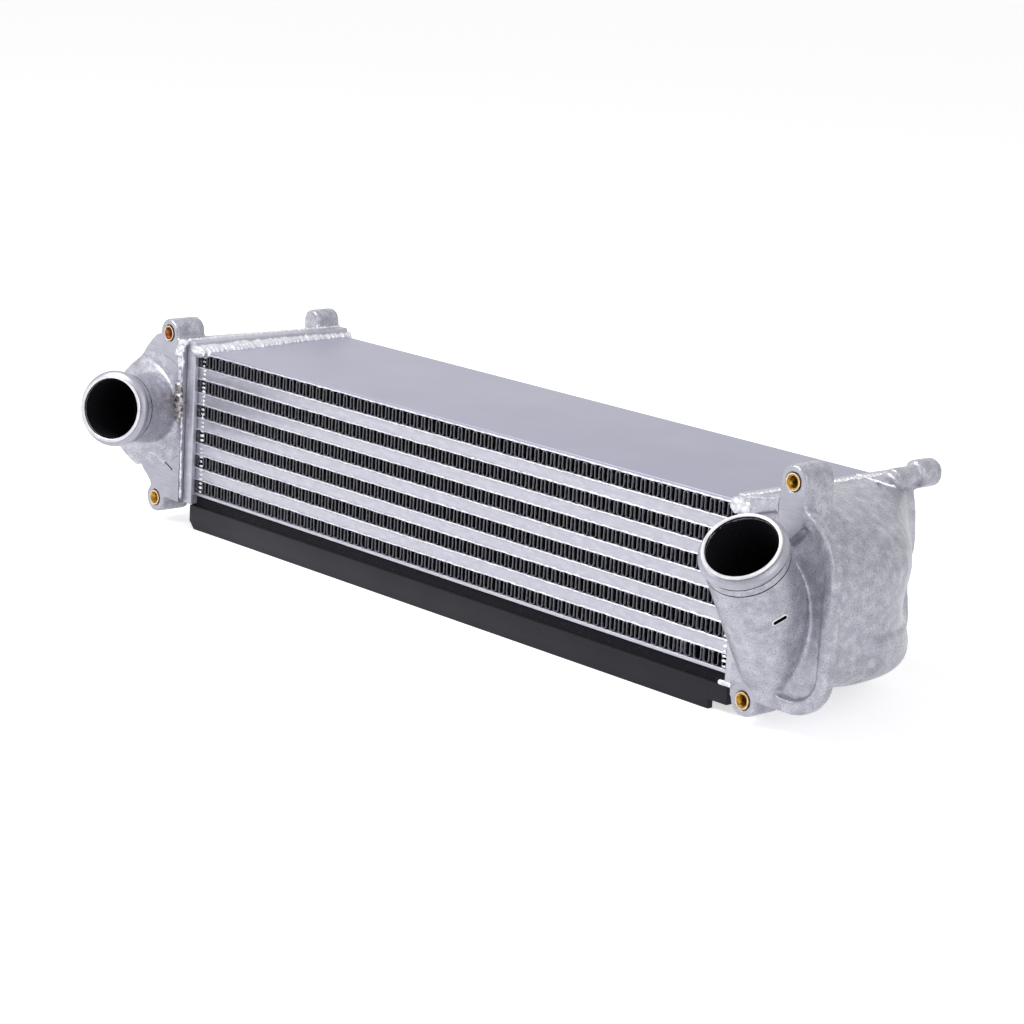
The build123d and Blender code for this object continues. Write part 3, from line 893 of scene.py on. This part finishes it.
welds = {"voxel": 0.55, "smoothing": 2, "waver": 0.35, "sizeWaver": 0.28, "turnWaver": 0.5, "tiltWaver": 0.4}
seams = {  # the finish, the blobs' pitch, and the stations: each a place and a blob's half sizes there
    "left_plate_weld": ("weld", 2.1, [((-243, -4, 121.8), (8.5, 2.4, 4.3)),
                                      ((-243.5, 30, 121.8), (8.5, 2.4, 4.3)),
                                      ((-246, 85, 122), (4.6, 2.4, 3.6)),
                                      ((-246.4, 126, 122), (3.4, 2.2, 3.0))]),
    "left_web_weld": ("weld", 2.6, [((-257, -7.4, 118), (3.4, 1.8, 2.6)),
                                    ((-257, -7.2, 98), (2.0, 1.2, 2.4)),
                                    ((-256.6, -6.6, 70), (2.6, 1.4, 2.4)),
                                    ((-256.4, -6, 22), (2.2, 1.4, 2.4))]),
    # its dark tone is burnt brown and partly painted shade
    "left_burnt_shaded_weld": ("burntAndShaded", 2.8, [((-258, -8, 74), (4.2, 2.4, 2.8)),
                                       ((-257, -8.2, 84), (4.6, 2.8, 2.8)),
                                       ((-258, -8, 97), (4.4, 2.4, 2.8))]),
    "left_boss_weld": ("weld", 2.6, [((-259, -7.6, 118), (3.4, 2.4, 2.4)),
                                     ((-256, -6.5, 126), (4.4, 3.0, 2.6))]),
    "left_top_weld": ("weld", 3.0, [((-255, -2, 127.2), (1.9, 1.7, 1.4)),
                                    ((-255, 124, 127.2), (1.9, 1.7, 1.4))]),
    "left_back_weld": ("weld", 3.0, [((-255, 126, 124), (2.0, 1.6, 1.8)),
                                     ((-255, 126, 20), (2.0, 1.6, 1.8))]),
    "right_plate_weld": ("weld", 3.2, [((246.4, -3, 122.2), (2.6, 1.9, 2.0)),
                                       ((246.4, 124, 122.2), (2.6, 1.9, 2.0))]),
    "right_corner_weld": ("weld", 3.0, [((247, -4.5, 121), (4.5, 3.4, 4.4)),
                                        ((258, -6, 122), (4.5, 3.6, 4.8))]),
    "right_top_weld": ("weld", 3.5, [((255, -4, 127.4), (2.3, 1.5, 1.5)),
                                     ((255, 112, 127.4), (2.3, 1.5, 1.5))]),
    "right_ridge_weld": ("weld", 2.2, [((249.3, 91.5, 127.3), (1.8, 1.2, 1.1)),
                                       ((276.7, 89.7, 126.6), (1.8, 1.2, 1.1))]),
    "right_front_weld": ("weld", 3.0, [((255, -4.2, 118), (2.0, 1.5, 2.0)),
                                       ((255, -4.2, 20), (2.0, 1.5, 2.0))]),
    "right_back_weld": ("weld", 3.0, [((255, 126, 124), (2.0, 1.6, 1.8)),
                                      ((255, 126, 20), (2.0, 1.6, 1.8))]),
    "right_foot_weld": ("weld", 2.4, [((244, -4, 19.4), (2.0, 1.4, 1.7)),
                                      ((260, -4, 19.0), (2.0, 1.4, 1.7))]),
    "left_braze_line": ("weld", 2.9, [((-241, 0, 118), (2.3, 0.6, 1.1)), ((-241, 0, 27), (2.3, 0.6, 1.1))]),
    "right_braze_line": ("weld", 2.9, [((242, 0, 118), (2.3, 0.6, 1.1)), ((242, 0, 27), (2.3, 0.6, 1.1))]),
}


def weldSeam(name, material, pitch, stations, seed):
    clearSelection()
    bpy.ops.mesh.primitive_ico_sphere_add(subdivisions=2, radius=1)
    blob = bpy.context.object
    blobs = []
    for (start, startSize), (end, endSize) in zip(stations, stations[1:]):
        start, end = place(*start), place(*end)
        count = max(1, round((end - start).length / (pitch * mm)))
        for i in range(count + 1):
            share = i / count
            spot = Vector((seed * 13.7 + share * count * 0.61, len(blobs) * 0.37, seed))  # in the noise
            wander = noise.noise_vector(spot)
            size = Vector(startSize).lerp(Vector(endSize), share) * (1 + welds["sizeWaver"] * wander.x) * mm
            drop = bpy.data.objects.new(name, blob.data.copy())
            drop.matrix_world = (Matrix.Translation(start.lerp(end, share) + wander * welds["waver"] * mm)
                                 @ Matrix.Rotation(wander.y * welds["turnWaver"], 4, "Z")
                                 @ Matrix.Rotation(wander.z * welds["tiltWaver"], 4, "X")
                                 @ Matrix.Diagonal((*size, 1)))
            bpy.context.scene.collection.objects.link(drop)
            blobs.append(drop)
    bpy.data.objects.remove(blob)
    weld = joinPieces(blobs, name)
    settle(weld)
    useModifier(weld, "REMESH", mode="VOXEL", voxel_size=welds["voxel"] * mm)
    useModifier(weld, "SMOOTH", factor=0.5, iterations=welds["smoothing"])
    smoothByAngle(weld, 180)
    return finishPiece(weld, finish[material], "cast_tank")


for seed, (name, (material, pitch, stations)) in enumerate(seams.items(), 1):
    weldSeam(name, material, pitch, stations, seed)
print("welds laid:", len(seams))


# Studio

studio = {"floor": "#F4F4F6", "floorSize": 12, "floorDrop": 0.05, "glow": 0.64, "ambient": 0.3,
          "key": ((-0.6, -1.1, 1.5), 0.9, 25), "fill": ((1.6, -0.4, 0.9), 1.0, 5),  # place, size in m, watts
          "aim": (0, 0, 0.05)}
photoView = {"lens": 106.79, "sensor": 36, "position": (1340.2, -1197.5, 485.8), "turn": 46.833,
             "down": 13.133, "roll": 3.3515}


def seenRays(tree):  # 1 for what the camera, a gloss or a glass sees, and 0 for the light on the object
    path = addNode(tree, "LightPath")
    seen = addNode(tree, "Math", {"operation": "ADD", "use_clamp": True},
                   {0: path.outputs["Is Camera Ray"], 1: path.outputs["Is Glossy Ray"]})
    return addNode(tree, "Math", {"operation": "ADD", "use_clamp": True},
                   {0: seen.outputs[0], 1: path.outputs["Is Transmission Ray"]}).outputs[0]


def studioFloor():
    clearSelection()
    bpy.ops.mesh.primitive_plane_add(size=studio["floorSize"], location=(0, 0, -studio["floorDrop"] * mm))
    floor = bpy.context.object
    floor.name = "studio_floor"
    settle(floor)
    material, tree, shader, coords = startMaterial("floorPaper", {
        "Roughness": 0.9, "Base Color": linearColour(studio["floor"]),
        "Emission Color": linearColour("#FFFFFF")})
    glow = addNode(tree, "Math", {"operation": "MULTIPLY", 1: studio["glow"]}, {0: seenRays(tree)})
    linkAll(tree, shader, {"Emission Strength": glow.outputs[0]})
    floor.data.materials.append(material)


def studioWorld():
    world = bpy.data.worlds.new("studioWorld")
    bpy.context.scene.world = world
    world.use_nodes = True
    tree = world.node_tree
    tree.nodes.clear()
    ambient = addNode(tree, "Background", {"Color": linearColour("#FFFFFF"), "Strength": studio["ambient"]})
    white = addNode(tree, "Background", {"Color": linearColour("#FFFFFF"), "Strength": 1})
    mix = addNode(tree, "MixShader", {}, {0: seenRays(tree), 1: ambient.outputs[0], 2: white.outputs[0]})
    addNode(tree, "OutputWorld", links={"Surface": mix.outputs[0]})


def softBox(name, position, size, watts):
    lamp = bpy.data.lights.new(name, "AREA")
    lamp.shape, lamp.size, lamp.energy = "SQUARE", size, watts
    holder = bpy.data.objects.new(name, lamp)
    bpy.context.scene.collection.objects.link(holder)
    holder.location = position
    aim = Vector(studio["aim"]) - Vector(position)
    holder.rotation_euler = aim.to_track_quat("-Z", "Y").to_euler()


def photoCamera():
    camera = bpy.data.cameras.new("photoCamera")
    camera.lens, camera.sensor_width = photoView["lens"], photoView["sensor"]
    holder = bpy.data.objects.new("photoCamera", camera)
    bpy.context.scene.collection.objects.link(holder)
    turn = (Matrix.Rotation(math.radians(photoView["turn"]), 4, "Z")
            @ Matrix.Rotation(math.radians(90 - photoView["down"]), 4, "X")
            @ Matrix.Rotation(math.radians(photoView["roll"]), 4, "Z"))
    holder.matrix_world = Matrix.Translation(place(*photoView["position"])) @ turn
    bpy.context.scene.camera = holder


studioFloor()
studioWorld()
photoCamera()
softBox("keyLight", *studio["key"])
softBox("fillLight", *studio["fill"])
bpy.context.scene.view_settings.view_transform = "Standard"
print("studio made")
